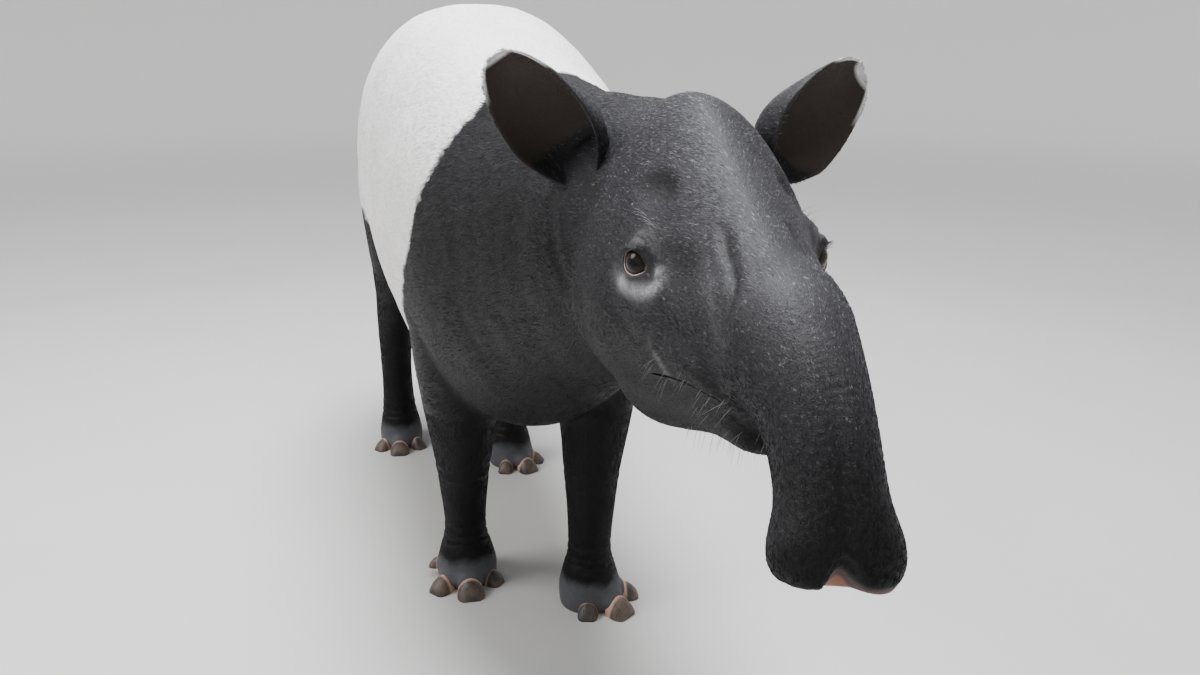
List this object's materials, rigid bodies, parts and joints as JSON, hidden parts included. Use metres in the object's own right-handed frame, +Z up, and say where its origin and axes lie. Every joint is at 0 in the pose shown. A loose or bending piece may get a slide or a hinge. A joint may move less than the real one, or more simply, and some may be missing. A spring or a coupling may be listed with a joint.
{
  "type": "malayan tapir",
  "caption": "Life-size standing tapir: barrel body with a pale saddle, short drooping trunk, round cupped ears and stout hoofed legs. A still museum model.",
  "frame": {"origin": "middle of the animal's bounding box, on the floor", "axes": "+Z up; the animal faces -Y, so its right side is towards -X"},
  "size_m": [0.5104, 2.1178, 1.0769],
  "materials": {
    "black_coat": "short dense black coat, satin",
    "eye_brown": "dark brown glass eye, gloss",
    "hoof_horn": "worn brown horn",
    "white_coat": "short dense off-white coat, matt"
  },
  "bodies": {
    "root": {"ear_left": "black_coat", "ear_right": "black_coat", "eye_left": "eye_brown", "eye_right": "eye_brown", "front_left_foot": "black_coat", "front_left_hoof_2": "hoof_horn", "front_left_hoof_3": "hoof_horn", "front_left_hoof_4": "hoof_horn", "front_left_hoof_5": "hoof_horn", "front_left_leg": "black_coat", "front_right_foot": "black_coat", "front_right_hoof_2": "hoof_horn", "front_right_hoof_3": "hoof_horn", "front_right_hoof_4": "hoof_horn", "front_right_hoof_5": "hoof_horn", "front_right_leg": "black_coat", "head": "black_coat", "hind_left_foot": "black_coat", "hind_left_hoof_2": "hoof_horn", "hind_left_hoof_3": "hoof_horn", "hind_left_hoof_4": "hoof_horn", "hind_left_leg": "black_coat", "hind_right_foot": "black_coat", "hind_right_hoof_2": "hoof_horn", "hind_right_hoof_3": "hoof_horn", "hind_right_hoof_4": "hoof_horn", "hind_right_leg": "black_coat", "neck": "black_coat", "proboscis": "black_coat", "tail": "black_coat", "torso": "white_coat"}
  },
  "joints": []
}
